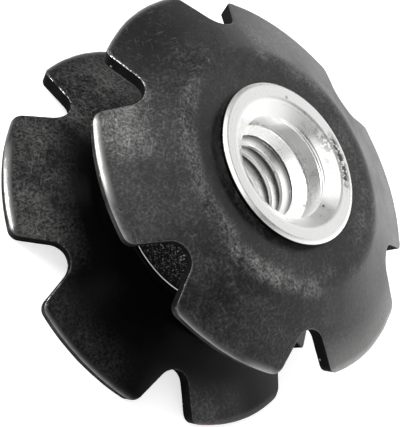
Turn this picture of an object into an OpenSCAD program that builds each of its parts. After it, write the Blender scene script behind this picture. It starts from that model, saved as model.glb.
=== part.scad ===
// Star nut for the inside of a steerer tube.
// Two dished spring steel star washers sit on a threaded barrel.
// The barrel's thin ends are swaged over the washers' hubs, so nothing comes apart or turns.
// The nut stands upright on the petal tips of the rear washer, with its axis along +Z.

/* [Star washers] */
// Diameter across the petals
star_d = 26.2; // [25:0.1:30]
// Thickness of the spring steel sheet
sheet_t = 1; // [0.8:0.05:1.2]
// Diameter of the line where the petals bend away from the flat hub
bend_d = 16; // [15:0.1:17]
// Radius of that bend on the convex face
bend_r = 2; // [1.5:0.1:2.6]
// Slope of the petals below the hub, in degrees
dish_angle = 28.5; // [22:0.5:34]
// Rounding of the rim on the convex face, drawn over by the punch
edge_r = 0.3; // [0.15:0.05:0.4]
// Rounding of the rim on the concave face
burr_r = 0.1; // [0.05:0.01:0.15]

/* [Slots] */
// Number of slots, and so of petals, in each washer
slot_count = 6; // [4:1:8]
// Depth of a slot, measured along the petal
slot_depth = 3.1; // [2.6:0.05:3.5]
// Width of a slot at the rim
slot_mouth_w = 4.9; // [4.4:0.1:5.6]
// Radius of a slot's round bottom
slot_root_r = 1.35; // [1:0.05:1.6]
// Radius of the petals' corners
corner_r = 0.8; // [0.5:0.05:1]
// Bevel along a slot's edge on the convex face
slot_bevel = 0.2; // [0.1:0.02:0.3]
// Turn of the rear washer's slots against the front washer's, in degrees
rear_turn = -18.6; // [-30:0.1:30]

/* [Barrel] */
// Nominal diameter of the thread
thread_d = 6; // [5:0.5:6]
// Pitch of the thread
thread_pitch = 1; // [0.8:0.1:1]
// Length of the barrel between the washers
body_len = 7.8; // [7.4:0.1:12]
// Diameter of the barrel between the washers
body_d = 11.5; // [10.5:0.1:11.7]
// Diameter of the collar that seats each washer
collar_d = 11.9; // [11.8:0.1:13]
// Height of a collar
collar_h = 0.2; // [0.1:0.05:0.5]
// Diameter of the neck inside each washer
neck_d = 8.6; // [8.2:0.1:9.2]
// Clearance all round between a neck and its washer
neck_clearance = 0.02; // [0.01:0.01:0.1]

/* [Swaged ends] */
// Diameter of the lip
lip_d = 11.1; // [10.8:0.1:11.6]
// Height of the lip's face above the hub
lip_h = 0.7; // [0.6:0.05:1]
// Thickness of the lip at its edge
lip_edge_t = 0.4; // [0.3:0.05:0.5]
// Width by which the lip's edge overhangs its seat on the hub
lip_overhang = 0.5; // [0.3:0.05:0.7]
// Rounding of the lip's edge
lip_edge_r = 0.15; // [0.05:0.05:0.2]
// Diameter of the funnel in the lip's face
funnel_d = 8.9; // [8.4:0.1:9.6]
// Depth of the funnel
funnel_depth = 0.7; // [0.5:0.05:0.9]
// Diameter of the counterbore below the funnel
counterbore_d = 7; // [6.4:0.1:7.4]
// Depth of the counterbore below the lip's face
counterbore_depth = 2.25; // [1.8:0.05:2.5]

/* [Hidden] */
$fn = 96;
oxide_black = [0.15, 0.15, 0.16];
bright_plate = [0.8, 0.8, 0.79];

// One overrun serves all cuts
overrun = 0.5;
// Amount by which an arc crosses the sides that it blends, so that they meet at a clear angle
lap = 0.002;

dish_cos = cos(dish_angle);
dish_sin = sin(dish_angle);

// Sheet section: flat hub, bend, then petals that end square to the sheet
hole_r = neck_d / 2 + neck_clearance;
// Directions square to a petal: away from its convex face, and outwards from its rim
petal_up = [dish_sin, dish_cos];
petal_out = [dish_cos, -dish_sin];
// Distances of the rim's two arc centres from its faces
edge_in = edge_r - lap;
burr_in = burr_r - lap;
// Rim's convex corner before it is rounded, as a radius and as a drop below the hub
rim_r = star_d / 2 + edge_in * (dish_cos + dish_sin) - edge_r;
rim_drop = (rim_r - bend_d / 2) * tan(dish_angle);
rim_top = [rim_r, -rim_drop];
rim_under = rim_top - sheet_t * petal_up;
mitre = tan(dish_angle / 2);
bend_centre = [bend_d / 2 - (bend_r - lap) * mitre, lap - bend_r];
washer_h = rim_drop + sheet_t * dish_cos - burr_in * (dish_cos + dish_sin) + burr_r;

// Slot outline in the petal's own plane: x runs outwards from the rim, and the rim is an arc about the apex
apex_dist = rim_r / dish_cos;
root_centre = [slot_root_r - slot_depth, 0];
mouth_x = sqrt(pow(apex_dist, 2) - pow(slot_mouth_w / 2, 2)) - apex_dist;
mouth_from_root = [mouth_x, slot_mouth_w / 2] - root_centre;
flare = atan2(mouth_from_root.y, mouth_from_root.x) - asin(slot_root_r / norm(mouth_from_root));
side_dir = [cos(flare), sin(flare)];
side_normal = [-sin(flare), cos(flare)];
side_start = root_centre + (slot_root_r - lap) * side_normal;
side_len = slot_depth + slot_mouth_w / 2;

// Petal corner: an arc that touches the slot's side and runs into the rim
corner_base = side_start + (corner_r - lap) * side_normal + [apex_dist, 0];
corner_reach = apex_dist - corner_r + lap;
corner_along = corner_base * side_dir;
corner_shift = sqrt(pow(corner_along, 2) - corner_base * corner_base + pow(corner_reach, 2)) - corner_along;
corner_centre = corner_base + corner_shift * side_dir - [apex_dist, 0];
corner_out = (corner_centre + [apex_dist, 0]) / norm(corner_centre + [apex_dist, 0]);

// Heights of the pieces
rear_hub_z = washer_h;
front_hub_z = rear_hub_z + body_len + sheet_t;
barrel_mid_z = rear_hub_z + body_len / 2;

// Barrel section, measured from its middle
body_r = body_d / 2;
collar_r = collar_d / 2;
neck_r = neck_d / 2;
lip_r = lip_d / 2;
bore_r = (thread_d - thread_pitch) / 2;
counterbore_r = counterbore_d / 2;
shoulder_z = body_len / 2;
hub_z = shoulder_z + sheet_t;
face_z = hub_z + lip_h;
counterbore_z = face_z - counterbore_depth;
// The lead-in to the thread slopes at 45 degrees
lead_in_z = counterbore_z - (counterbore_r - bore_r);

// What lies between an arc about a centre and the corner that it rounds, for sides that face along way_a and way_b
module corner_scrap(centre, way_a, way_b, r) {
    reach = r + overrun;
    difference() {
        polygon([
            centre,
            centre + reach * way_a,
            centre + reach * (way_a + way_b) / (1 + way_a * way_b),
            centre + reach * way_b
        ]);
        translate(centre)
            circle(r);
    }
}

// The dished sheet in section, with the hub's convex face at y = 0
module sheet_section() {
    difference() {
        union() {
            polygon([
                [hole_r, 0],
                [bend_d / 2, 0],
                rim_top,
                rim_under,
                [bend_d / 2 - sheet_t * mitre, -sheet_t],
                [hole_r, -sheet_t]
            ]);
            corner_scrap(bend_centre, [0, 1], petal_up, bend_r - sheet_t);
        }
        corner_scrap(bend_centre, [0, 1], petal_up, bend_r);
        corner_scrap(rim_top - edge_in * (petal_up + petal_out), petal_up, petal_out, edge_r);
        corner_scrap(rim_under + burr_in * (petal_up - petal_out), petal_out, -petal_up, burr_r);
    }
}

// A slot in the petal's plane, with a round bottom and flared sides
module slot_outline() {
    side_end = side_start + side_len * side_dir;
    translate(root_centre)
        circle(slot_root_r);
    polygon([
        root_centre,
        side_start,
        side_end,
        [side_end.x, -side_end.y],
        [side_start.x, -side_start.y]
    ]);
    corner_scrap(corner_centre, -side_normal, corner_out, corner_r);
    mirror([0, 1])
        corner_scrap(corner_centre, -side_normal, corner_out, corner_r);
}

// The bevel along one side of a slot
module side_bevel() {
    translate([side_start.x, side_start.y, 0])
        rotate([0, 0, flare])
            rotate([90, 0, 90])
                linear_extrude(side_len)
                    polygon([
                        [-overrun, -slot_bevel - overrun],
                        [slot_bevel + overrun, overrun],
                        [-overrun, overrun]
                    ]);
}

// Everything that one slot takes away, square to the petal, with the convex face at z = 0
module slot_cut() {
    translate([0, 0, -sheet_t - overrun])
        linear_extrude(sheet_t + 2 * overrun)
            slot_outline();
    translate([root_centre.x, root_centre.y, -slot_bevel - overrun])
        cylinder(
            h = slot_bevel + 2 * overrun,
            r1 = slot_root_r - overrun,
            r2 = slot_root_r + slot_bevel + overrun
        );
    side_bevel();
    mirror([0, 1, 0])
        side_bevel();
}

// A dished washer with the hub's convex face at z = 0 and a slot along +X
module star_washer() {
    difference() {
        rotate_extrude()
            sheet_section();
        for (k = [0 : slot_count - 1])
            rotate([0, 0, k * 360 / slot_count])
                translate([rim_r, 0, -rim_drop])
                    rotate([0, dish_angle, 0])
                        slot_cut();
    }
}

// Front half of the barrel in section, with the barrel's middle at y = 0
module barrel_half_section() {
    polygon([
        [bore_r, 0],
        [body_r, 0],
        [body_r, shoulder_z - collar_h],
        [collar_r, shoulder_z - collar_h],
        [collar_r, shoulder_z],
        [neck_r, shoulder_z],
        [neck_r, hub_z],
        [lip_r - lip_overhang, hub_z],
        [lip_r, face_z - lip_edge_t],
        [lip_r, face_z - lip_edge_r],
        [lip_r - lip_edge_r, face_z],
        [funnel_d / 2, face_z],
        [counterbore_r, face_z - funnel_depth],
        [counterbore_r, counterbore_z],
        [bore_r, lead_in_z]
    ]);
    translate([lip_r - lip_edge_r, face_z - lip_edge_r])
        circle(lip_edge_r);
}

module front_star_washer() {
    color(oxide_black)
        translate([0, 0, front_hub_z])
            star_washer();
}

module rear_star_washer() {
    color(oxide_black)
        translate([0, 0, rear_hub_z])
            rotate([0, 0, rear_turn])
                star_washer();
}

module threaded_barrel() {
    color(bright_plate)
        translate([0, 0, barrel_mid_z])
            rotate_extrude() {
                barrel_half_section();
                mirror([0, 1])
                    barrel_half_section();
            }
}

front_star_washer();
rear_star_washer();
threaded_barrel();
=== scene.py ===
# %% [markdown]
# # A star nut, dressed for its photograph
#
# A star nut is driven down a bicycle's steerer tube, where its two springy star washers bite into the wall.
# The bolt of the headset's top cap then pulls on the thread in its barrel.
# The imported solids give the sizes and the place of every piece.
# This lesson builds finer meshes over them: rounded punched edges, a real thread, and finishes for two metals.

import math

import bpy
import numpy as np
from mathutils import Matrix, Vector


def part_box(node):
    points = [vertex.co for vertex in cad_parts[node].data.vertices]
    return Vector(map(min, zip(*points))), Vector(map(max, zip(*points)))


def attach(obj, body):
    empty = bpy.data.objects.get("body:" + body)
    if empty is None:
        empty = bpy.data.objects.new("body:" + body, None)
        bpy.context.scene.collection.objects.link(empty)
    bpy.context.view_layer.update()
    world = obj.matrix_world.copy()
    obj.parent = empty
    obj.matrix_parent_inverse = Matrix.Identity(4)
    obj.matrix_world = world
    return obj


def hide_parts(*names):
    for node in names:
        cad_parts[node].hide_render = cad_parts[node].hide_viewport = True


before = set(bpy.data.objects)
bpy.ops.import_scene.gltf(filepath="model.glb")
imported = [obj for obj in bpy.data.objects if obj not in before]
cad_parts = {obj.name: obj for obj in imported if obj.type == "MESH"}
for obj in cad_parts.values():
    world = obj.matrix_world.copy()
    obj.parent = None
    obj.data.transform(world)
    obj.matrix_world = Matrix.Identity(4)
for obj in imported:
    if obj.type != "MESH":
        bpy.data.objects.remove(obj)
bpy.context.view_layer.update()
scene = bpy.context.scene

# %% [markdown]
# ## Sizes
#
# The sizes are those of the solids, in millimetres, because a maker reads a washer in millimetres.
# Each mesh is turned into metres only when it is handed to Blender.
# Heights that the solids already fix are measured from them, so the pieces cannot drift apart.

# %% sizes of the nut
MM = 0.001

SHEET_T = 1.0
BEND_LINE_R = 8.0
BEND_R = 2.0
DISH = math.radians(28.5)
DISH_COS, DISH_SIN = math.cos(DISH), math.sin(DISH)
PETALS = 6
REAR_TURN = math.radians(-18.6)
CAMERA_TURN = math.radians(-68.64)

barrel_low, barrel_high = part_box("threaded_barrel")
front_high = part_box("front_star_washer")[1]
rear_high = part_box("rear_star_washer")[1]
STAR_R = front_high.y / MM
FRONT_HUB_Z = front_high.z / MM
REAR_HUB_Z = rear_high.z / MM
BARREL_MID_Z = (barrel_low.z + barrel_high.z) / 2 / MM
BODY_LEN = FRONT_HUB_Z - REAR_HUB_Z - SHEET_T
print("star radius", round(STAR_R, 3), "hubs at", round(REAR_HUB_Z, 3), round(FRONT_HUB_Z, 3))

# %% [markdown]
# ## The outline of one petal
#
# A punch cuts the slots while the sheet is flat, and a press then dishes it.
# So the outline is drawn on the unrolled cone: flat polar coordinates about the point where the cone would end.
# It starts at the bottom of one slot, runs up the slot's side, round the petal's corner and along the rim.
# Only half a petal is drawn, because the other half is its mirror image.

# %% outline of half a petal
SLOT_DEPTH = 3.1
SLOT_MOUTH = 4.9
SLOT_ROOT_R = 1.35
CORNER_R = 0.8
EDGE_R = 0.3
RIM_R = STAR_R + EDGE_R * (DISH_COS + DISH_SIN - 1)
APEX_DIST = RIM_R / DISH_COS
HALF_PETAL = math.pi / PETALS * DISH_COS
# Points along the slot's bottom, its side, the petal's corner and half the rim
ROOT_POINTS, SIDE_POINTS, CORNER_POINTS, RIM_POINTS = 13, 9, 9, 22


def arc(centre, radius, start, end, count):
    """Points on an arc, and the unit directions from its centre to them."""
    angles = np.linspace(start, end, count)
    ways = np.stack([np.cos(angles), np.sin(angles)], 1)
    return np.asarray(centre) + radius * ways, ways


def half_petal_outline():
    """Points from a slot's bottom to the middle of the rim, with the direction into the sheet and a share of rim."""
    root = np.array([APEX_DIST - SLOT_DEPTH + SLOT_ROOT_R, 0.0])
    mouth = np.array([math.sqrt(APEX_DIST**2 - (SLOT_MOUTH / 2) ** 2), SLOT_MOUTH / 2]) - root
    flare = math.atan2(mouth[1], mouth[0]) - math.asin(SLOT_ROOT_R / np.linalg.norm(mouth))
    side = np.array([math.cos(flare), math.sin(flare)])
    into = np.array([-side[1], side[0]])
    side_start = root + SLOT_ROOT_R * into
    base = side_start + CORNER_R * into
    along = base @ side
    corner = base + side * (math.sqrt(along**2 - base @ base + (APEX_DIST - CORNER_R) ** 2) - along)
    corner_way = math.atan2(corner[1], corner[0])

    root_points, root_ways = arc(root, SLOT_ROOT_R, math.pi, math.pi / 2 + flare, ROOT_POINTS)
    side_points = np.linspace(side_start, corner - CORNER_R * into, SIDE_POINTS)[1:-1]
    corner_points, corner_ways = arc(corner, CORNER_R, flare - math.pi / 2, corner_way, CORNER_POINTS)
    rim_points, rim_ways = arc((0, 0), APEX_DIST, corner_way, HALF_PETAL, RIM_POINTS)
    points = np.concatenate([root_points, side_points, corner_points, rim_points[1:]])
    side_ways = np.tile(into, (len(side_points), 1))
    inward = np.concatenate([root_ways, side_ways, -corner_ways, -rim_ways[1:]])
    on_slot = np.zeros(len(root_points) + len(side_points))
    rim_share = np.concatenate([on_slot, np.linspace(0, 1, CORNER_POINTS), np.ones(RIM_POINTS - 1)])
    return points, inward, rim_share


outline, outline_in, outline_rim = half_petal_outline()
print("outline of half a petal:", len(outline), "points")

# %% [markdown]
# ## One petal of the dished sheet
#
# The sheet has one thickness all over, so both faces come from one map.
# The map takes a place on the unrolled cone and a depth below the convex face, and gives a place in the nut.
# Blanking the disc draws the rim's edge over into a broad soft roll, and the slots get a narrower one.
# Both leave a torn wall and a sharp edge behind.
# The rows of the mesh run once round the section: hub, bend, petal, rolled edge, wall and back underneath.
# Five numbers are kept at every point for the finishes to read: how near it is to the edge, whether it is on the
# torn wall, how far the tube has rubbed the rim, how far the slots are nicked, and how far the rim's roll has come.

# %% mesh of one petal
RIM_ROLL = 0.6
SLOT_ROLL = 0.13
ROLL_TILT = math.radians(34)
CORNER_T = 0.03
BURR_R = 0.1
HOLE_R = 4.32
FLAT_R = BEND_LINE_R - BEND_R * math.tan(DISH / 2)
PETAL_START_R = FLAT_R + BEND_R * DISH_SIN
# Rows over each part of the section, on the convex side, round the edge and underneath
HUB_ROWS, BEND_ROWS, FACE_ROWS = 6, 9, 15
ROLL_ROWS, WALL_ROWS, BURR_ROWS = 10, 5, 4
UNDER_FACE_ROWS, UNDER_BEND_ROWS, UNDER_HUB_ROWS = 9, 6, 4
# How much closer the convex face's rows lie towards the roll
FACE_CROWDING = 1.3
# How rough the torn wall is against the sharp edge, and how strongly the rim is rubbed
WALL_TEAR = 0.7
RIM_RUB = 0.45
# How late on the roll each kind of wear sets in
RUB_POWER, NICK_POWER, ROLL_POWER = 5, 2, 1.2


def mirrored(points, inward, rim_share):
    """The whole petal's outline, with the second half mirrored about the petal's middle line."""
    middle = np.array([math.cos(HALF_PETAL), math.sin(HALF_PETAL)])

    def flip(v):
        return 2 * (v @ middle)[:, None] * middle - v

    whole = np.concatenate([points, flip(points[-2::-1])])
    whole_in = np.concatenate([inward, flip(inward[-2::-1])])
    return whole, whole_in, np.concatenate([rim_share, rim_share[-2::-1]])


def on_cone(points, depth):
    """Radius, turn and height of points on the unrolled cone, at a depth below the convex face."""
    reach = np.linalg.norm(points, axis=1)
    turn = np.arctan2(points[:, 1], points[:, 0]) / DISH_COS
    radius = reach * DISH_COS - depth * DISH_SIN
    height = -(reach - BEND_LINE_R / DISH_COS) * DISH_SIN - depth * DISH_COS
    return radius, turn, height


def rolled_rows(points, inward, width):
    """Rows of the roll on the convex face: an arc that ends in a sharp edge at the wall."""
    rows = []
    for tilt in np.linspace(0, ROLL_TILT, ROLL_ROWS):
        shift = width * (1 - math.sin(tilt) / math.sin(ROLL_TILT))
        drop = width * (1 - math.cos(tilt)) / math.sin(ROLL_TILT)
        rows.append(on_cone(points + shift[:, None] * inward, drop))
    return rows


def burr_rows(points, inward):
    """Rows of the small rounding from the wall to the concave face."""
    rows = []
    for k in np.linspace(0, math.pi / 2, BURR_ROWS):
        shift = BURR_R * (1 - math.cos(k))
        rows.append(on_cone(points + shift * inward, SHEET_T - BURR_R * (1 - math.sin(k))))
    return rows


def petal_rows():
    """Rows once round the section of a petal, and the numbers kept at their points."""
    points, inward, rim_share = mirrored(outline, outline_in, outline_rim)
    roll_width = SLOT_ROLL + (RIM_ROLL - SLOT_ROLL) * rim_share
    roll = rolled_rows(points, inward, roll_width)
    burr = burr_rows(points, inward)
    turn = roll[0][1]
    ones = np.ones_like(turn)

    def face(edge_radius, depth, start_r, shares):
        rows = []
        for s in shares:
            radius = start_r + (edge_radius - start_r) * s
            reach = (radius + depth * DISH_SIN) / DISH_COS
            height = -(reach - BEND_LINE_R / DISH_COS) * DISH_SIN - depth * DISH_COS
            rows.append((radius, turn, height))
        return rows

    def bend(radius, count):
        ways = np.linspace(0, DISH, count)
        return [((FLAT_R + radius * math.sin(w)) * ones, turn, (radius * math.cos(w) - BEND_R) * ones) for w in ways]

    def hub(height, count):
        return [(r * ones, turn, height * ones) for r in np.linspace(HOLE_R, FLAT_R, count)[:-1]]

    top_shares = 1 - np.linspace(1, 0, FACE_ROWS)[1:-1] ** FACE_CROWDING
    top = hub(0.0, HUB_ROWS) + bend(BEND_R, BEND_ROWS) + face(roll[0][0], 0.0, PETAL_START_R, top_shares)
    wall_top = roll_width * math.tan(ROLL_TILT / 2) + CORNER_T
    wall_shares = np.linspace(0, 1, WALL_ROWS)[:-1, None]
    wall = [on_cone(points, depth) for depth in wall_top + wall_shares * (SHEET_T - BURR_R - wall_top)]
    under_shares = np.linspace(0, 1, UNDER_FACE_ROWS)[1:-1]
    under = face(burr[-1][0], SHEET_T, PETAL_START_R - SHEET_T * DISH_SIN, under_shares)[::-1]
    under += bend(BEND_R - SHEET_T, UNDER_BEND_ROWS)[::-1] + hub(-SHEET_T, UNDER_HUB_ROWS)[::-1]

    def kept(on_roll, on_wall, share=ones):
        """Values for every row of the section, times a share for every column."""
        torn_rows = np.full(len(wall) + len(burr), on_wall)
        column = np.concatenate([np.zeros(len(top)), on_roll, torn_rows, np.zeros(len(under))])
        return np.outer(column, share)

    steps = np.linspace(0, 1, ROLL_ROWS)
    values = {
        "edge": kept(steps, WALL_TEAR),
        "torn": kept(0 * steps, 1.0),
        "rubbed": kept(steps**RUB_POWER, 0.0, RIM_RUB * rim_share),
        "nicked": kept(steps**NICK_POWER, 0.0, 1 - rim_share),
        "rolled": kept(steps**ROLL_POWER, 1.0, rim_share),
    }
    return top + roll + wall + burr + under, values


def grid_mesh(name, rows, closed_rows, closed_columns, point_values=None):
    """A quad mesh from rows of (radius, turn, height) in millimetres, with named values kept at its points."""
    radius, turn, height = (np.array([row[k] for row in rows]) for k in range(3))
    points = np.stack([radius * np.cos(turn), radius * np.sin(turn), height], 2) * MM
    index = np.arange(radius.size).reshape(radius.shape)
    if closed_rows:
        index = np.concatenate([index, index[:1]])
    if closed_columns:
        index = np.concatenate([index, index[:, :1]], 1)
    quads = np.stack([index[:-1, :-1], index[1:, :-1], index[1:, 1:], index[:-1, 1:]], 2).reshape(-1, 4)
    mesh = bpy.data.meshes.new(name)
    mesh.from_pydata(points.reshape(-1, 3).tolist(), [], quads.tolist())
    for label, values in (point_values or {}).items():
        mesh.attributes.new(label, "FLOAT", "POINT").data.foreach_set("value", values.ravel())
    mesh.update()
    return mesh


petal_points, petal_values = petal_rows()
petal_mesh = grid_mesh("petal", petal_points, True, False, petal_values)
print("one petal:", len(petal_mesh.vertices), "points", len(petal_mesh.polygons), "faces")

# %% [markdown]
# ## Six petals make a washer
#
# The petals repeat round the axis, so a Geometry Nodes tree sets copies of one petal on points and turns each one.
# The copies are made real and their shared edges are merged.
# A little noise then moves the sheet by a few hundredths of a millimetre, as pressing and hardening do.
# Without it the reflections in the black faces would be too straight.
# A finer noise roughens the edges alone, because the punch tears them.

# %% tree that turns a petal into a washer
WAVE_SCALE = 190.0
TEAR_SCALE = 1500.0
MERGE_DIST = 0.002
# A face belongs to the torn wall when its corners' mean is above this
WALL_FROM = 0.6


def new_tree(tree_kind, name, inputs, outputs):
    """A node tree, the values given to it and the places for what it makes.

    A socket is described by its starting value, or by the name of its kind.
    """
    tree = bpy.data.node_groups.new(name, tree_kind)
    for side, sockets in (("INPUT", inputs), ("OUTPUT", outputs)):
        for label, start in sockets.items():
            kind = start if isinstance(start, str) else type(start).__name__.title()
            socket = tree.interface.new_socket(label, in_out=side, socket_type="NodeSocket" + kind)
            if kind != start:
                socket.default_value = start
    return tree, tree.nodes.new("NodeGroupInput").outputs, tree.nodes.new("NodeGroupOutput").inputs


def fill(tree, node, links):
    """Puts values or other nodes' outputs into a node's inputs."""
    for key, value in links.items():
        if isinstance(value, bpy.types.NodeSocket):
            tree.links.new(value, node.inputs[key])
        else:
            node.inputs[key].default_value = value


def add(tree, kind, links=None, **settings):
    """A node with its settings and its inputs filled."""
    node = tree.nodes.new(kind)
    for key, value in settings.items():
        setattr(node, key, value)
    fill(tree, node, links or {})
    return node


def then(tree, kind, shape, values=None):
    """The next step that a shape goes through in a geometry tree."""
    return add(tree, "GeometryNode" + kind, {"Geometry": shape, **(values or {})}).outputs[0]


def combine(tree, operation, a, b=0.0):
    return add(tree, "ShaderNodeMath", {0: a, 1: b}, operation=operation).outputs[0]


def combine_ways(tree, operation, a, b):
    return add(tree, "ShaderNodeVectorMath", {0: a, 1: b}, operation=operation).outputs[0]


def dot(tree, a, b):
    return add(tree, "ShaderNodeVectorMath", {0: a, 1: b}, operation="DOT_PRODUCT").outputs["Value"]


def scaled(tree, way, amount):
    return add(tree, "ShaderNodeVectorMath", {0: way, "Scale": amount}, operation="SCALE").outputs[0]


def length(tree, way):
    return add(tree, "ShaderNodeVectorMath", {0: way}, operation="LENGTH").outputs["Value"]


def between(tree, value, start, end, low=0.0, high=1.0):
    """A value that goes smoothly from low to high as another goes from start to end."""
    return add(tree, "ShaderNodeMapRange", {
        "Value": value, "From Min": start, "From Max": end, "To Min": low, "To Max": high},
        interpolation_type="SMOOTHSTEP").outputs[0]


def washer_tree():
    tree, given, made = new_tree("GeometryNodeTree", "petals round a hub", {
        "Geometry": "Geometry", "Petals": PETALS, "Turn": 0.0, "Lift": 0.0, "Waviness": 0.0, "Wave seed": 0.0,
        "Tear": 0.0, "Finish": "Material", "Torn finish": "Material"}, {"Geometry": "Geometry"})

    def kept(name):
        return add(tree, "GeometryNodeInputNamedAttribute", {"Name": name}, data_type="FLOAT").outputs[0]

    def shake(scale, amount):
        """Noise of one scale that moves a point to any side by up to half the amount."""
        noise = add(tree, "ShaderNodeTexNoise", {
            "W": given["Wave seed"], "Scale": scale, "Detail": 1.0}, noise_dimensions="4D").outputs["Color"]
        return scaled(tree, combine_ways(tree, "SUBTRACT", noise, (0.5, 0.5, 0.5)), amount)

    points = add(tree, "GeometryNodePoints", {"Count": given["Petals"]})
    index = add(tree, "GeometryNodeInputIndex").outputs[0]
    step = combine(tree, "DIVIDE", 2 * math.pi, given["Petals"])
    angle = combine(tree, "ADD", combine(tree, "MULTIPLY", index, step), given["Turn"])
    spin = add(tree, "FunctionNodeAxisAngleToRotation", {"Axis": (0, 0, 1), "Angle": angle})
    copies = add(tree, "GeometryNodeInstanceOnPoints", {
        "Points": points.outputs[0], "Instance": given["Geometry"], "Rotation": spin.outputs[0]})
    shape = then(tree, "RealizeInstances", copies.outputs[0])
    shape = then(tree, "MergeByDistance", shape, {"Distance": MERGE_DIST * MM})
    lift = add(tree, "ShaderNodeCombineXYZ", {"Z": given["Lift"]}).outputs[0]
    offset = combine_ways(tree, "ADD", shake(WAVE_SCALE, given["Waviness"]), lift)
    tear = combine(tree, "MULTIPLY", kept("edge"), given["Tear"])
    offset = combine_ways(tree, "ADD", shake(TEAR_SCALE, tear), offset)
    shape = then(tree, "SetPosition", shape, {"Offset": offset})
    shape = then(tree, "SetShadeSmooth", shape, {"Shade Smooth": True})
    shape = then(tree, "SetMaterial", shape, {"Material": given["Finish"]})
    on_wall = combine(tree, "GREATER_THAN", kept("torn"), WALL_FROM)
    shape = then(tree, "SetMaterial", shape, {"Selection": on_wall, "Material": given["Torn finish"]})
    tree.links.new(shape, made["Geometry"])
    return tree


petals_round_hub = washer_tree()
print("washer tree:", len(petals_round_hub.nodes), "nodes")

# %% [markdown]
# ## The black finish
#
# Black oxide is a thin dark skin on hardened steel: almost no colour of its own, a satin shine, and strong
# reflections at a glancing angle.
# A fine grain breaks up what it reflects, and bare steel shows wherever the skin has gone: in scuffs and hairlines on
# the petals, along the bend that the press rubbed, on polished rims and in nicks along the slots.
# All of that is one mask of wear, which takes the surface from dark oxide to pale metal.
# Each worn place is a stretch of a ring round the axis, so a few numbers put it where the photograph shows it.
# The mottling, the hairlines, the specks and the stretches are shader groups, because more than one finish uses them
# with values of its own.

# %% shader groups that the finishes share


def mottle_group():
    """Cloudy patches and fine grain, each from 0 to 1."""
    group, given, made = new_tree("ShaderNodeTree", "mottle", {
        "Place": "Vector", "Patch scale": 400.0, "Grain scale": 5000.0}, {"Patches": "Float", "Grain": "Float"})
    for label, scale, detail in (("Patches", "Patch scale", 6.0), ("Grain", "Grain scale", 5.0)):
        noise = add(group, "ShaderNodeTexNoise", {
            "Vector": given["Place"], "Scale": given[scale], "Detail": detail, "Roughness": 0.74})
        spread = add(group, "ShaderNodeMapRange", {"Value": noise.outputs[0], "From Min": 0.3, "From Max": 0.7})
        group.links.new(spread.outputs[0], made[label])
    return group


def hairline_group():
    """Short thin scratches at a few angles, from 0 to 1."""
    group, given, made = new_tree("ShaderNodeTree", "hairlines", {
        "Place": "Vector", "Fineness": 7000.0, "Rarity": 0.68}, {"Lines": "Float"})
    full = combine(group, "ADD", given["Rarity"], 0.06)
    most = 0.0
    for turn in (0.35, 1.2, 2.3):
        turned = add(group, "ShaderNodeMapping", {
            "Vector": given["Place"], "Rotation": (0.1, 0.2, turn), "Scale": (1.0, 14.0, 4.0)},
            vector_type="TEXTURE")
        streaks = add(group, "ShaderNodeTexNoise", {
            "Vector": turned.outputs[0], "Scale": given["Fineness"], "Detail": 0.0})
        line = add(group, "ShaderNodeMapRange", {
            "Value": streaks.outputs[0], "From Min": given["Rarity"], "From Max": full})
        most = combine(group, "MAXIMUM", line.outputs[0], most)
    group.links.new(most, made["Lines"])
    return group


def speck_group():
    """Small round pits in some of the cells of a pattern, from 0 to 1."""
    group, given, made = new_tree("ShaderNodeTree", "specks", {
        "Place": "Vector", "Cell scale": 900.0, "Speck size": 0.16, "Share": 0.2}, {"Pits": "Float"})
    cells = add(group, "ShaderNodeTexVoronoi", {"Vector": given["Place"], "Scale": given["Cell scale"]})
    pit = add(group, "ShaderNodeMapRange", {
        "Value": cells.outputs["Distance"], "From Min": given["Speck size"], "From Max": 0.02})
    chance = add(group, "ShaderNodeSeparateColor", {0: cells.outputs["Color"]})
    chosen = combine(group, "LESS_THAN", chance.outputs[0], given["Share"])
    group.links.new(combine(group, "MULTIPLY", pit.outputs[0], chosen), made["Pits"])
    return group


def stretch_group():
    """One stretch of a ring round the axis: a share that falls off at its ends and to both sides."""
    group, given, made = new_tree("ShaderNodeTree", "stretch of a ring", {
        "Place": "Vector", "Middle": "Vector", "End cosine": 0.9, "Full cosine": 0.95, "Radius": 8.0 * MM,
        "Half width": 1.0 * MM, "Strength": 1.0}, {"Share": "Float"})
    flat = combine_ways(group, "MULTIPLY", given["Place"], (1, 1, 0))
    toward = add(group, "ShaderNodeVectorMath", {0: flat}, operation="NORMALIZE").outputs[0]
    along = between(group, dot(group, toward, given["Middle"]), given["End cosine"], given["Full cosine"],
                    0.0, given["Strength"])
    aside = combine(group, "ABSOLUTE", combine(group, "SUBTRACT", length(group, flat), given["Radius"]))
    across = between(group, aside, given["Half width"], 0.0)
    group.links.new(combine(group, "MULTIPLY", along, across), made["Share"])
    return group


MOTTLE = mottle_group()
HAIRLINES = hairline_group()
SPECKS = speck_group()
STRETCH = stretch_group()
print("shader groups:", MOTTLE.name, HAIRLINES.name, SPECKS.name, STRETCH.name)

# %% helpers for materials


def new_material(name):
    """A material with its tree, its shader, and the place on the piece that its patterns read."""
    material = bpy.data.materials.new(name)
    material.use_nodes = True
    tree = material.node_tree
    place = add(tree, "ShaderNodeTexCoord").outputs["Object"]
    return material, tree, tree.nodes["Principled BSDF"], place


def effect(tree, group, place, values):
    """A shader group set into a material, with its own values."""
    return add(tree, "ShaderNodeGroup", node_tree=group, links={"Place": place, **values}).outputs


def kept_number(tree, name):
    """A number that was kept at the points of the mesh."""
    return add(tree, "ShaderNodeAttribute", attribute_name=name).outputs["Fac"]


def tint(tree, share, under, over):
    """One colour laid over another by a share that changes over the surface."""
    return add(tree, "ShaderNodeMix", {0: share, 6: under, 7: over}, data_type="RGBA").outputs[2]


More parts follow.
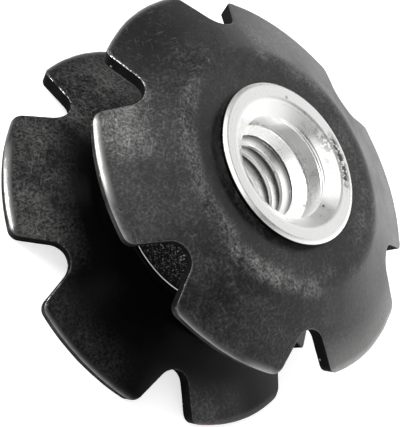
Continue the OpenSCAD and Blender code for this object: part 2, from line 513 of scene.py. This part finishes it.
def stretches(tree, place, listed):
    """The largest share of several stretches of rings.

    Each is a turn from the camera and a half span in degrees, a distance from the axis and a half width in
    millimetres, and a strength.
    """
    most = 0.0
    for turn, half_span, radius, half_width, strength in listed:
        turn = CAMERA_TURN + math.radians(turn)
        share = effect(tree, STRETCH, place, {
            "Middle": (math.cos(turn), math.sin(turn), 0), "Radius": radius * MM, "Half width": half_width * MM,
            "End cosine": math.cos(math.radians(half_span)), "Full cosine": math.cos(math.radians(half_span / 3)),
            "Strength": strength})["Share"]
        most = combine(tree, "MAXIMUM", share, most)
    return most


def distance_from_axis(tree, place):
    return length(tree, combine_ways(tree, "MULTIPLY", place, (1, 1, 0)))


def relief(tree, height, strength, depth):
    """Relief that is too fine for the mesh, with its depth in millimetres."""
    return add(tree, "ShaderNodeBump", {
        "Height": height, "Strength": strength, "Distance": depth * MM}).outputs[0]


print("a worn place is set by", [item.name for item in STRETCH.interface.items_tree if item.in_out == "INPUT"])

# %% black oxide on spring steel
OXIDE_DARK = (0.001, 0.001, 0.00105, 1)
OXIDE_PALE = (0.015, 0.015, 0.0155, 1)
BARE_STEEL = (0.45, 0.45, 0.44, 1)
OXIDE_RELIEF = 0.012
NICK_LEAST = 0.1
SCUFF_LINES = 0.4
# Where the rubbed ring along the bend begins, is full, begins to fade and ends
BEND_RING = (6.9, 7.6, 7.9, 8.7)
# The worn places are given in the terms of the function stretches
FRONT_OXIDE = {
    "shine": 0.44, "clouds": 1.0, "roughness": (0.26, 0.38), "grain": 0.4, "haze": 0.06, "scratches": 0.05,
    "ring_wear": 0.3,
    "scuffs": [
        (-41, 18, 11.4, 2.5, 0.45), (46, 34, 8.15, 0.9, 0.75), (-59, 20, 7.9, 0.9, 0.18),
        (-129, 14, 9.6, 3.0, 0.3), (-146, 20, 11.8, 2.6, 0.28), (146, 50, 6.9, 1.4, 0.3)],
    # Rims that are polished to bare steel, and edges of slots that are nicked bright
    "polish": [(-33, 22, 13.0, 1.5, 0.68), (57, 14, 13.05, 0.6, 0.5)],
    "nicks": [(-57, 15, 12.2, 3.0, 1.8), (126, 9, 12.6, 2.2, 1.2)],
    # Places where the skin is kept whole, without haze or pale clouds, which paints shade on petal A and on the hub in
    # front of the lip, and places where it is rubbed evenly thin
    "whole": [(-84, 34, 11.8, 3.8, 1.0), (-12, 60, 6.5, 1.3, 0.9)],
    "even": [(102, 42, 13.0, 2.4, 0.28)],
}
# The rear washer is a darker copy of the same oxide, as painted shade under the front washer: a weak shine and almost
# no pale clouds.
# Its scuffs lie only where it sticks out past the front one, so it is painted lighter outside that shade, and it has
# no haze
REAR_OXIDE_SHADED = {
    "shine": 0.09, "clouds": 0.02, "roughness": (0.12, 0.24), "grain": 0.5, "haze": 0.0, "scratches": 0.0,
    "ring_wear": 0.0,
    "scuffs": [
        (-36, 36, 12.0, 3.2, 0.22), (-86, 30, 10.6, 3.6, 0.25), (62, 22, 12.4, 2.0, 0.2),
        (12, 26, 12.6, 2.2, 0.05)],
    "polish": [(-35, 18, 13.0, 1.5, 0.6)],
    "nicks": [(-75, 10, 12.0, 3.0, 1.0), (1, 8, 12.6, 1.8, 0.8)],
    "whole": [],
    "even": [(62, 26, 12.2, 2.4, 0.035)],
}


def black_oxide(name, shine, clouds, roughness, grain, haze, scratches, ring_wear, scuffs, polish, nicks, whole, even):
    """Dark oxide, with one mask of wear that lays bare steel over it."""
    material, tree, shader, place = new_material(name)
    mottle = effect(tree, MOTTLE, place, {"Patch scale": 330.0, "Grain scale": 5200.0})
    lines = effect(tree, HAIRLINES, place, {"Fineness": 14000.0, "Rarity": 0.72})["Lines"]

    def grainy(*limits):
        return between(tree, mottle["Grain"], *limits)

    def patchy(*limits):
        return between(tree, mottle["Patches"], *limits)

    def times(a, b):
        return combine(tree, "MULTIPLY", a, b)

    # Rims that the tube rubbed, nicked slots and polished rims
    edges = times(kept_number(tree, "rubbed"), patchy(0.1, 0.7, 0.5, 1.0))
    bright = times(combine(tree, "MAXIMUM", stretches(tree, place, nicks), NICK_LEAST), grainy(0.4, 0.66))
    edges = combine(tree, "MAXIMUM", edges, times(kept_number(tree, "nicked"), bright))
    edges = combine(tree, "MAXIMUM", edges, times(kept_number(tree, "rolled"), stretches(tree, place, polish)))

    # The rubbed bend and the scuffs, broken up by the grain and crossed by hairlines
    radius = distance_from_axis(tree, place)
    ring_start, ring_full, ring_fade, ring_end = (r * MM for r in BEND_RING)
    ring = times(between(tree, radius, ring_start, ring_full), between(tree, radius, ring_end, ring_fade))
    ring = times(ring, patchy(0.3, 0.9, 0.0, ring_wear))
    worn = combine(tree, "MAXIMUM", stretches(tree, place, scuffs), ring)
    speckled = times(grainy(0.1, 1.0, 0.03, 0.65), patchy(0.2, 0.7, 0.35, 1.2))
    worn = times(worn, combine(tree, "ADD", speckled, times(lines, SCUFF_LINES)))

    # A haze of bare grain, faint scratches, and stretches that are rubbed evenly; the haze and the pale clouds are
    # kept off the stretches of painted shade
    share_outside_painted_shade = between(tree, stretches(tree, place, whole), 1.0, 0.0)
    thin = times(times(grainy(0.3, 1.0, 0.0, haze), patchy(0.1, 0.9, 0.3, 1.4)), share_outside_painted_shade)
    thin = combine(tree, "ADD", thin, times(lines, scratches))
    thin = combine(tree, "ADD", thin, stretches(tree, place, even))
    wear = combine(tree, "MAXIMUM", edges, combine(tree, "ADD", worn, thin))

    cloudy = times(mottle["Grain"], patchy(0.15, 0.85, 0.12 * clouds, 1.1 * clouds))
    skin = tint(tree, times(cloudy, share_outside_painted_shade), OXIDE_DARK, OXIDE_PALE)
    fill(tree, shader, {
        "Base Color": tint(tree, wear, skin, BARE_STEEL), "Metallic": wear, "Specular IOR Level": shine,
        "Roughness": patchy(0.0, 1.0, *roughness), "Normal": relief(tree, mottle["Grain"], grain, OXIDE_RELIEF)})
    return material


front_oxide = black_oxide("handled black oxide", **FRONT_OXIDE)
# The rear finish is the front one darkened, as painted shade under the front washer.
rear_oxide_shaded = black_oxide("black oxide in painted shade", **REAR_OXIDE_SHADED)
print("finishes:", front_oxide.name, "and", rear_oxide_shaded.name)

# %% [markdown]
# ## The torn walls
#
# Where the punch broke through, the sheet is torn: a coarse matt surface that swallows light, with a few bright
# flecks.
# It is a finish of its own, because a matt wall needs a weaker shine than the satin faces.
# The slots' walls are painted much darker than the rims' walls, as painted shade inside the narrow slots.

# %% torn steel
TORN_BLACK = (0.002, 0.002, 0.002, 1)
TORN_GREY = (0.05, 0.05, 0.05, 1)
TORN_SHINE = 0.04
TORN_RELIEF = 0.05
# How much of the grey the slots' walls keep, as painted shade inside the slots
SLOT_WALL_SHADE = 0.08


def torn_edge_steel():
    material, tree, shader, place = new_material("torn steel")
    mottle = effect(tree, MOTTLE, place, {"Patch scale": 900.0, "Grain scale": 4200.0})
    flecks = effect(tree, SPECKS, place, {"Cell scale": 3200.0, "Speck size": 0.35, "Share": 0.04})["Pits"]
    # The slots' walls keep only a small share of the grey: painted shade inside the slots.
    paleness_outside_slot_shade = between(tree, kept_number(tree, "rolled"), 0.0, 1.0, SLOT_WALL_SHADE, 1.0)
    skin = tint(tree, combine(tree, "MULTIPLY", mottle["Patches"], paleness_outside_slot_shade), TORN_BLACK, TORN_GREY)
    fill(tree, shader, {
        "Base Color": tint(tree, flecks, skin, BARE_STEEL), "Metallic": flecks, "Specular IOR Level": TORN_SHINE,
        "Roughness": between(tree, flecks, 0.0, 1.0, 0.75, 0.35),
        "Normal": relief(tree, mottle["Grain"], 1.0, TORN_RELIEF)})
    return material


torn_steel = torn_edge_steel()
print("finish:", torn_steel.name)

# %% [markdown]
# ## Both washers
#
# Both washers came off the same tool, so one petal and one tree make both.
# The rear one sits turned on the barrel, and it gets a seed of its own, because no two pressings are wavy alike.
# Each result is turned into a plain mesh, because the library keeps meshes and no modifiers.

# %% build both washers
WAVINESS = 0.08
TEAR = 0.05
FRONT_SEED, REAR_SEED = 2.0, 7.0


def grown(mesh, name, tree, values):
    """A plain mesh object from a starting mesh and a tree with its inputs set."""
    start = bpy.data.objects.new(name + "_start", mesh)
    scene.collection.objects.link(start)
    modifier = start.modifiers.new("grow", "NODES")
    modifier.node_group = tree
    for item in tree.interface.items_tree:
        if item.item_type == "SOCKET" and item.in_out == "INPUT" and item.name in values:
            modifier[item.identifier] = values[item.name]
    evaluated = start.evaluated_get(bpy.context.evaluated_depsgraph_get())
    plain = bpy.data.meshes.new_from_object(evaluated)
    start.modifiers.remove(modifier)
    bpy.data.objects.remove(start)
    plain.name = name
    piece = bpy.data.objects.new(name, plain)
    scene.collection.objects.link(piece)
    return piece


def washer(name, turn, hub_z, seed, oxide):
    return grown(petal_mesh, name, petals_round_hub, {
        "Petals": PETALS, "Turn": turn, "Lift": hub_z * MM, "Waviness": WAVINESS * MM, "Wave seed": seed,
        "Tear": TEAR * MM, "Finish": oxide, "Torn finish": torn_steel})


front_star = washer("front_star", 0.0, FRONT_HUB_Z, FRONT_SEED, front_oxide)
rear_star = washer("rear_star", REAR_TURN, REAR_HUB_Z, REAR_SEED, rear_oxide_shaded)
for star, node in ((front_star, "front_star_washer"), (rear_star, "rear_star_washer")):
    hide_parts(node)
    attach(star, "root")
    print(star.name, len(star.data.polygons), "faces")

# %% [markdown]
# ## The barrel
#
# The barrel is turned from bar: a plain cylinder between the washers and a thin tube at each end.
# A punch spreads the tubes over the hubs, which leaves the flat lip, the funnel and the straight counterbore.
# One outline, swept round the axis, makes it all, with small radii where the real edges are broken.
# The few fine lines that the tools left in the lip, the funnel and the counterbore are cut into the same outline.

# %% outline of the turned barrel
BODY_R = 5.75
COLLAR_R = 5.95
COLLAR_H = 0.2
NECK_R = 4.3
LIP_R = 5.55
LIP_H = 0.7
LIP_EDGE_T = 0.4
LIP_SEAT_R = 5.05
LIP_FALL = 0.18
LIP_FLAT_R = 5.3
FUNNEL_R = 4.45
FUNNEL_DEPTH = 0.7
COUNTERBORE_R = 3.5
COUNTERBORE_DEPTH = 2.25
BORE_R = 2.5
# Roundings of the edges
PLAIN_BREAK = 0.05
LIP_UNDER_BREAK, LIP_EDGE_BREAK, LIP_FALL_BREAK = 0.08, 0.1, 0.3
FUNNEL_BREAK, COUNTERBORE_BREAK = 0.4, 0.04
BREAK_POINTS = 7
# Fine lines that the tools left: place, half width and depth
RING_LINES = ((5.1, 0.03, 0.006), (4.94, 0.02, 0.004), (4.78, 0.03, 0.006))
FUNNEL_LINE = (0.22, 0.03, 0.01)
WALL_LINES = ((0.84, 0.05, 0.07), (1.72, 0.03, 0.02), (1.95, 0.03, 0.03))


def broken_edges(corners):
    """A line through corners given as (radius, height, rounding), with each rounded corner as an arc."""
    line = []
    for k, (r, z, rounding) in enumerate(corners):
        here = np.array([r, z])
        if rounding == 0:
            line.append(here)
            continue
        before = np.array(corners[k - 1][:2]) - here
        after = np.array(corners[k + 1][:2]) - here
        before, after = before / np.linalg.norm(before), after / np.linalg.norm(after)
        half = math.acos(np.clip(before @ after, -1, 1)) / 2
        back = rounding / math.tan(half)
        for s in np.linspace(0, 1, BREAK_POINTS):
            blend = (1 - s) ** 2 * before + s**2 * after
            line.append(here + back * blend)
    return np.array(line)


def cut_line(middle, along, into, half_width, depth):
    """Corners of a fine line that a tool cut into a face, with flat ground kept on both sides."""
    middle, along, into = np.array(middle), np.array(along), np.array(into)
    steps = [(-2, 0), (-1, 0), (0, 1), (1, 0), (2, 0)]
    return [(*(middle + s * half_width * along + d * depth * into), 0) for s, d in steps]


def half_barrel_line():
    """From the middle of the body, over the lip and down to the start of the thread's lead-in."""
    shoulder = BODY_LEN / 2
    hub = shoulder + SHEET_T
    face = hub + LIP_H
    funnel_way = np.array([COUNTERBORE_R - FUNNEL_R, -FUNNEL_DEPTH])
    funnel_way = funnel_way / np.linalg.norm(funnel_way)
    funnel_in = (-funnel_way[1], funnel_way[0])
    funnel_spot = FUNNEL_LINE[0] * funnel_way + (FUNNEL_R, face)
    ring_cuts = [cut_line((r, face), (-1, 0), (0, -1), *size) for r, *size in RING_LINES]
    wall_cuts = [cut_line((COUNTERBORE_R, face - d), (0, -1), (1, 0), *size) for d, *size in WALL_LINES]
    return broken_edges([
        (BODY_R, 0.0, 0),
        (BODY_R, shoulder - COLLAR_H, PLAIN_BREAK),
        (COLLAR_R, shoulder - COLLAR_H, PLAIN_BREAK),
        (COLLAR_R, shoulder, PLAIN_BREAK),
        (NECK_R, shoulder, 0),
        (NECK_R, hub, 0),
        (LIP_SEAT_R, hub, PLAIN_BREAK),
        (LIP_R, face - LIP_EDGE_T, LIP_UNDER_BREAK),
        (LIP_R, face - LIP_FALL, LIP_EDGE_BREAK),
        (LIP_FLAT_R, face, LIP_FALL_BREAK),
        *sum(ring_cuts, []),
        (FUNNEL_R, face, FUNNEL_BREAK),
        *cut_line(funnel_spot, funnel_way, funnel_in, *FUNNEL_LINE[1:]),
        (COUNTERBORE_R, face - FUNNEL_DEPTH, COUNTERBORE_BREAK),
        *sum(wall_cuts, []),
        (COUNTERBORE_R, face - COUNTERBORE_DEPTH, 0),
    ])


half_line = half_barrel_line()
print("barrel outline:", len(half_line), "points, lip face at", round(half_line[:, 1].max(), 3))

# %% [markdown]
# ## The thread
#
# An M6 thread has a pitch of 1 mm. Its grooves take up three quarters of that at the bore's surface, and they run out
# through the lead-in cone at each end.
# A helix swept with a profile would need trimming there.
# It is easier to start from the plain bore with many fine rows and to push every point outwards to the
# groove's depth, wherever that is further out than the plain wall.
# Geometry Nodes do it with the larger of two radii, and the run-out comes by itself.
# How deep each point was cut is kept as a number, so that the finish can paint shade in the grooves.

# %% blank of the barrel
BLANK_COLUMNS = 128
BORE_ROWS = 240


def barrel_rows():
    """Rows once round the section of the barrel, with a plain bore."""
    lead_top = half_line[-1, 1]
    lead_end = lead_top - (COUNTERBORE_R - BORE_R)
    heights = np.linspace(lead_top, -lead_top, BORE_ROWS)[1:-1]
    radii = np.maximum(BORE_R, COUNTERBORE_R - (lead_top - np.abs(heights)))
    bore = np.stack([radii, heights], 1)
    bottom = half_line[::-1] * (1, -1)
    line = np.concatenate([half_line, bore, bottom[:-1]])[::-1]
    turns = np.linspace(0, 2 * math.pi, BLANK_COLUMNS, endpoint=False)
    print("thread runs over", round(2 * lead_end, 2), "mm")
    return [(np.full(BLANK_COLUMNS, r), turns, np.full(BLANK_COLUMNS, z)) for r, z in line]


blank_mesh = grid_mesh("barrel_blank", barrel_rows(), True, True)
print("barrel blank:", len(blank_mesh.polygons), "faces")

# %% tree that cuts the thread
THREAD_PITCH = 1.0
GROOVE_DEPTH = 0.5
HALF_OPENING = 0.375
THREAD_START = 0.2
FLANK_SLOPE = math.tan(math.radians(60))


def thread_tree():
    tree, given, made = new_tree("GeometryNodeTree", "thread in a bore", {
        "Geometry": "Geometry", "Pitch": THREAD_PITCH * MM, "Crest radius": BORE_R * MM,
        "Groove depth": GROOVE_DEPTH * MM, "Half opening": HALF_OPENING, "Start": THREAD_START, "Lift": 0.0,
        "Finish": "Material"}, {"Geometry": "Geometry"})

    def work(operation, a, b=0.0):
        return combine(tree, operation, a, b)

    place = add(tree, "GeometryNodeInputPosition").outputs[0]
    x, y, z = add(tree, "ShaderNodeSeparateXYZ", {0: place}).outputs
    turns = work("DIVIDE", work("ARCTAN2", y, x), 2 * math.pi)
    climbs = work("DIVIDE", z, given["Pitch"])
    phase = work("FRACT", work("ADD", work("SUBTRACT", climbs, turns), given["Start"]))
    from_groove = work("ABSOLUTE", work("SUBTRACT", phase, 0.5))
    flank = work("MULTIPLY", work("SUBTRACT", given["Half opening"], from_groove), given["Pitch"])
    cut = work("MAXIMUM", work("MULTIPLY", flank, FLANK_SLOPE), 0.0)
    depth = work("MINIMUM", cut, given["Groove depth"])
    groove = work("ADD", depth, given["Crest radius"])
    flat = add(tree, "ShaderNodeCombineXYZ", {"X": x, "Y": y}).outputs[0]
    plain = length(tree, flat)
    deep = work("MULTIPLY", work("DIVIDE", depth, given["Groove depth"]), work("GREATER_THAN", groove, plain))
    marked = add(tree, "GeometryNodeStoreNamedAttribute", {
        "Geometry": given["Geometry"], "Name": "deep", "Value": deep}, data_type="FLOAT", domain="POINT")
    out = scaled(tree, flat, work("DIVIDE", work("MAXIMUM", plain, groove), plain))
    raised = add(tree, "ShaderNodeCombineXYZ", {"Z": work("ADD", z, given["Lift"])}).outputs[0]
    shape = then(tree, "SetPosition", marked.outputs[0], {"Position": combine_ways(tree, "ADD", out, raised)})
    shape = then(tree, "RealizeInstances", shape)
    shape = then(tree, "SetShadeSmooth", shape, {"Shade Smooth": True})
    shape = then(tree, "SetMaterial", shape, {"Material": given["Finish"]})
    tree.links.new(shape, made["Geometry"])
    return tree


thread_in_bore = thread_tree()
print("thread tree:", len(thread_in_bore.nodes), "nodes")

# %% [markdown]
# ## The bright finish
#
# The barrel is zinc plated: a pale metal with soft reflections.
# Its ends were faced on a lathe and rubbed by the punch, so they are smooth, with fine rings and a few dark pits.
# The grooves of the thread are painted dark as shade, and a painted shadow line runs along the counterbore's edge.
# The cylinder between the washers kept a coarse rough skin, painted dark as shade between the washers, with glints
# that fade towards the rear washer as painted shade too. The lip's wall and the foot of the collar are painted dark as
# shade as well.

# %% bright plate
PLATE_PALE = (0.98, 0.98, 0.97, 1)
PLATE_GREY = (0.91, 0.91, 0.9, 1)
# The dark of the pits also serves as painted shade in the thread and along the counterbore
PLATE_PIT_AND_SHADE = (0.1, 0.1, 0.098, 1)
PLATE_SHADE = (0.008, 0.008, 0.0078, 1)
PLATE_RELIEF = 0.006
# How dark the painted shade in the thread's grooves gets
THREAD_GROOVE_SHADE = 0.85
LINE_DARKNESS = 0.25
DULL_ROUGHNESS = 0.5
COARSE_RELIEF = 4.0
# Pitted stretches of the lip, in the terms of the function stretches
PITTED = [(161, 28, 4.84, 0.5, 1.2), (-179, 16, 4.25, 0.5, 0.6), (160, 18, 3.95, 0.4, 0.4)]
# One deep pit in the funnel, and a painted shadow line along the counterbore's edge
PIT_AND_SHADOW_LINE = [(112, 2.2, 3.72, 0.1, 1.0), (170, 44, 3.58, 0.07, 0.9)]
# Places painted dark as shade, from none to full: distances from the axis, and for the ends from the barrel's middle
BODY_SIDE, BODY_RIM, BODY_END = (5.62, 5.7), (5.92, 5.87), (3.76, 3.72)
LIP_WALL, LIP_WALL_END = (5.5, 5.54), (4.85, 4.95)
COLLAR_FOOT, COLLAR_FOOT_END = (5.8, 5.85), (3.77, 3.8)
# Heights between which the sparkle grows, and how strong it is there, as painted shade that darkens towards the rear
# washer
SPARKLE_Z = (REAR_HUB_Z + 1.5, REAR_HUB_Z + 5.0)
SPARKLE = (0.25, 2.0)


def bright_plate():
    """Pale plate with dark marks and painted shade in the thread, and a coarse side painted dark as shade."""
    material, tree, shader, place = new_material("bright plate")
    mottle = effect(tree, MOTTLE, place, {"Patch scale": 700.0, "Grain scale": 6000.0})
    pits = effect(tree, SPECKS, place, {"Cell scale": 1100.0, "Speck size": 0.2, "Share": 0.14})["Pits"]
    lines = effect(tree, HAIRLINES, place, {"Fineness": 9000.0, "Rarity": 0.8})["Lines"]
    radius = distance_from_axis(tree, place)
    along = add(tree, "ShaderNodeSeparateXYZ", {0: place}).outputs[2]
    from_middle = combine(tree, "ABSOLUTE", combine(tree, "SUBTRACT", along, BARREL_MID_Z * MM))

    def times(a, b):
        return combine(tree, "MULTIPLY", a, b)

    def larger(a, b):
        return combine(tree, "MAXIMUM", a, b)

    def zone(side, end):
        """The share of a place by its distances from the axis and from the barrel's middle."""
        return times(between(tree, radius, side[0] * MM, side[1] * MM),
                     between(tree, from_middle, end[0] * MM, end[1] * MM))

    body = times(zone(BODY_SIDE, BODY_END), between(tree, radius, BODY_RIM[0] * MM, BODY_RIM[1] * MM))

    # Pits, hairlines, cracks round the pitted lip, the painted shadow line along the counterbore, and painted shade in
    # the thread's grooves
    worst = between(tree, effect(tree, MOTTLE, place, {"Grain scale": 3400.0})["Grain"], 0.34, 0.54)
    cracks_and_shadow_line = larger(times(stretches(tree, place, PITTED), worst), stretches(tree, place, PIT_AND_SHADOW_LINE))
    marks = larger(larger(pits, times(lines, LINE_DARKNESS)), cracks_and_shadow_line)
    marks = larger(marks, between(tree, kept_number(tree, "deep"), 0.25, 0.95, 0.0, THREAD_GROOVE_SHADE))
    skin = tint(tree, mottle["Patches"], PLATE_GREY, PLATE_PALE)
    skin = tint(tree, marks, skin, PLATE_PIT_AND_SHADE)

    # Painted shade: the side between the washers, broken by glints that fade towards the rear washer, then the lip's
    # wall and the foot of the collar; after that fine rings and a coarse side
    fine = effect(tree, MOTTLE, place, {"Grain scale": 7500.0})["Grain"]
    sparkle_away_from_shade = between(tree, along, SPARKLE_Z[0] * MM, SPARKLE_Z[1] * MM, *SPARKLE)
    glints = times(between(tree, fine, 0.6, 0.88), sparkle_away_from_shade)
    painted_shade = times(body, combine(tree, "SUBTRACT", 1.0, glints))
    painted_shade = larger(painted_shade, larger(zone(LIP_WALL, LIP_WALL_END), zone(COLLAR_FOOT, COLLAR_FOOT_END)))

    rings = add(tree, "ShaderNodeTexNoise", {
        "W": radius, "Scale": 9000.0, "Detail": 1.0}, noise_dimensions="1D").outputs[0]
    coarse = times(times(mottle["Grain"], body), COARSE_RELIEF)
    height = combine(tree, "ADD", combine(tree, "ADD", mottle["Grain"], rings), coarse)
    smooth = between(tree, mottle["Patches"], 0.0, 1.0, 0.24, 0.36)
    fill(tree, shader, {
        "Base Color": tint(tree, painted_shade, skin, PLATE_SHADE), "Metallic": 1.0,
        "Roughness": larger(smooth, times(body, DULL_ROUGHNESS)),
        "Normal": relief(tree, height, 0.5, PLATE_RELIEF)})
    return material


plate = bright_plate()
barrel = grown(blank_mesh, "barrel", thread_in_bore, {
    "Pitch": THREAD_PITCH * MM, "Crest radius": BORE_R * MM, "Groove depth": GROOVE_DEPTH * MM,
    "Half opening": HALF_OPENING, "Start": THREAD_START, "Lift": BARREL_MID_Z * MM, "Finish": plate})
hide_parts("threaded_barrel")
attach(barrel, "root")
print("barrel:", len(barrel.data.polygons), "faces")

# %% [markdown]
# ## Camera
#
# The camera stands where the photograph's outline says it stood, looking down on the convex side.
# The photograph is turned by about 60 degrees, so the camera is rolled by that much.
# It is aimed through the middle of the picture, so it needs no shift.

# %% camera
IMAGE_W, IMAGE_H = 400, 427
FOCAL_PX = 3506.8
SENSOR = 36.0
CAMERA_RISE = 39.9
CAMERA_ROLL = math.radians(-60.4)
CAMERA_DIST = 224.2
TARGET_Z = REAR_HUB_Z + 4.16
# Where the nut's target lies from the middle of the picture, in pixels
OFF_X, OFF_Y = 33.78, -19.25


def way_from_nut(turn, rise):
    """A direction from the nut, in degrees round from the camera and above the floor."""
    turn, rise = CAMERA_TURN + math.radians(turn), math.radians(rise)
    return Vector((math.cos(rise) * math.cos(turn), math.cos(rise) * math.sin(turn), math.sin(rise)))


def photo_camera():
    back = way_from_nut(0, CAMERA_RISE)
    down = way_from_nut(0, CAMERA_RISE - 90)
    level = way_from_nut(90, 0)
    right = level * math.cos(CAMERA_ROLL) + down * math.sin(CAMERA_ROLL)
    below = -level * math.sin(CAMERA_ROLL) + down * math.cos(CAMERA_ROLL)
    aim = (-back - right * (OFF_X / FOCAL_PX) - below * (OFF_Y / FOCAL_PX)).normalized()
    right = (right - aim * right.dot(aim)).normalized()
    up = right.cross(aim)
    data = bpy.data.cameras.new("photo_camera")
    data.sensor_width = SENSOR
    data.lens = FOCAL_PX * SENSOR / max(IMAGE_W, IMAGE_H)
    data.clip_start, data.clip_end = 0.01, 10.0
    camera = bpy.data.objects.new("photo_camera", data)
    spot = back * (CAMERA_DIST * MM) + Vector((0, 0, TARGET_Z * MM))
    turn = Matrix((right, up, -aim)).transposed().to_4x4()
    camera.matrix_world = Matrix.Translation(spot) @ turn
    scene.collection.objects.link(camera)
    scene.camera = camera
    return camera


camera = photo_camera()
print("camera at", [round(v, 4) for v in camera.location], "lens", round(camera.data.lens, 1))

# %% [markdown]
# ## Floor and light
#
# The nut stands on white card: black steel has hardly any colour, so what it mirrors is what shows.
# The far petals mirror the card, and the hub and the lip mirror the pale walls of a room.
# The walls are dim on the left and glow low down on the right. The ceiling is dim too, which keeps the space between
# the washers dark, apart from a skylight over the left shoulder.
# One small window on the left draws bright lines along the rolled rims that face it.
# The card glows to the camera and to reflections, but reflections get nothing from the shaded card round the nut's
# foot. Straight below the bore they get some again, because the thread would be black without it.

# %% floor
FLOOR_HALF = 1.5
CARD = (0.72, 0.72, 0.72, 1)
CARD_ROUGHNESS = 0.9
FLOOR_GLOW = 0.66
# Glow in reflections: at the left and the right, clear of the nut's foot, and below the bore
FLOOR_LEFT, FLOOR_RIGHT = 0.16, 1.3
LEFT_END, RIGHT_END = -20, 60
FOOT_END, CLEAR_OF_FOOT = 12, 30
FLOOR_UNDER = 0.85
UNDER_END, UNDER_FULL = 9, 5


def white_floor():
    mesh = bpy.data.meshes.new("floor")
    corners = [(-1, -1), (1, -1), (1, 1), (-1, 1)]
    mesh.from_pydata([(x * FLOOR_HALF, y * FLOOR_HALF, 0) for x, y in corners], [], [(0, 1, 2, 3)])
    floor = bpy.data.objects.new("floor", mesh)
    scene.collection.objects.link(floor)
    material, tree, shader, place = new_material("white card")
    path = add(tree, "ShaderNodeLightPath").outputs
    away = distance_from_axis(tree, place)
    aside = between(tree, dot(tree, place, way_from_nut(90, 0)), LEFT_END * MM, RIGHT_END * MM,
                    FLOOR_LEFT, FLOOR_RIGHT)
    glow = combine(tree, "MULTIPLY", between(tree, away, FOOT_END * MM, CLEAR_OF_FOOT * MM), aside)
    under = between(tree, away, UNDER_END * MM, UNDER_FULL * MM, 0.0, FLOOR_UNDER)
    glow = combine(tree, "MAXIMUM", glow, under)
    seen = combine(tree, "MAXIMUM", combine(tree, "MULTIPLY", path["Is Camera Ray"], FLOOR_GLOW),
                   combine(tree, "MULTIPLY", path["Is Glossy Ray"], glow))
    fill(tree, shader, {
        "Base Color": CARD, "Roughness": CARD_ROUGHNESS, "Specular IOR Level": 0.0, "Emission Color": seen,
        "Emission Strength": 1.0})
    mesh.materials.append(material)
    return floor


floor = white_floor()
print("floor:", floor.dimensions[:])

# %% window and room
WINDOW_TURN, WINDOW_RISE = -54, 17
WINDOW_DIST = 0.6
WINDOW_SIZE = (0.24, 0.2)
WINDOW_POWER = 5.4
LEFT_DIM = 0.35
LEFT_FULL = -0.65
RIGHT_GAIN = 1.6
RIGHT_LOW, RIGHT_HIGH = 0.08, 0.32
CEILING_FROM, CEILING_FULL = 0.6, 0.9
CEILING_DIM = 0.2
SKYLIGHT_TURN, SKYLIGHT_RISE = -60, 54
SKYLIGHT_EDGE, SKYLIGHT_FULL = math.cos(math.radians(50)), math.cos(math.radians(15))
SKYLIGHT_GAIN = 1.2


def window_lamp():
    data = bpy.data.lights.new("window", "AREA")
    data.shape = "RECTANGLE"
    data.size, data.size_y = WINDOW_SIZE
    data.energy = WINDOW_POWER
    lamp = bpy.data.objects.new("window", data)
    toward = way_from_nut(WINDOW_TURN, WINDOW_RISE)
    lamp.location = Vector((0, 0, BARREL_MID_Z * MM)) + toward * WINDOW_DIST
    lamp.rotation_mode = "QUATERNION"
    lamp.rotation_quaternion = toward.to_track_quat("Z", "Y")
    scene.collection.objects.link(lamp)
    return lamp


def pale_room():
    """Pale walls, dim on the left and glowing low down on the right, under a dim ceiling with a skylight."""
    world = bpy.data.worlds.new("room")
    scene.world = world
    world.use_nodes = True
    tree = world.node_tree
    toward = add(tree, "ShaderNodeTexCoord").outputs["Generated"]
    side = dot(tree, toward, way_from_nut(90, 0))
    rise = add(tree, "ShaderNodeSeparateXYZ", {0: toward}).outputs[2]
    walls = combine(tree, "MULTIPLY", between(tree, side, LEFT_FULL, 0.0, LEFT_DIM, 1.0),
                    between(tree, rise, CEILING_FROM, CEILING_FULL, 1.0, CEILING_DIM))
    right_glow = combine(tree, "MULTIPLY", between(tree, side, 0.0, 1.0),
                         between(tree, rise, RIGHT_LOW, RIGHT_HIGH, RIGHT_GAIN, 0.0))
    skylight = between(tree, dot(tree, toward, way_from_nut(SKYLIGHT_TURN, SKYLIGHT_RISE)),
                       SKYLIGHT_EDGE, SKYLIGHT_FULL, 0.0, SKYLIGHT_GAIN)
    light = combine(tree, "ADD", combine(tree, "ADD", walls, right_glow), skylight)
    tree.links.new(light, tree.nodes["Background"].inputs["Color"])
    return world


window = window_lamp()
room = pale_room()
scene.view_settings.view_transform = "Standard"
print("window at", [round(v, 3) for v in window.location], "in a pale", room.name)
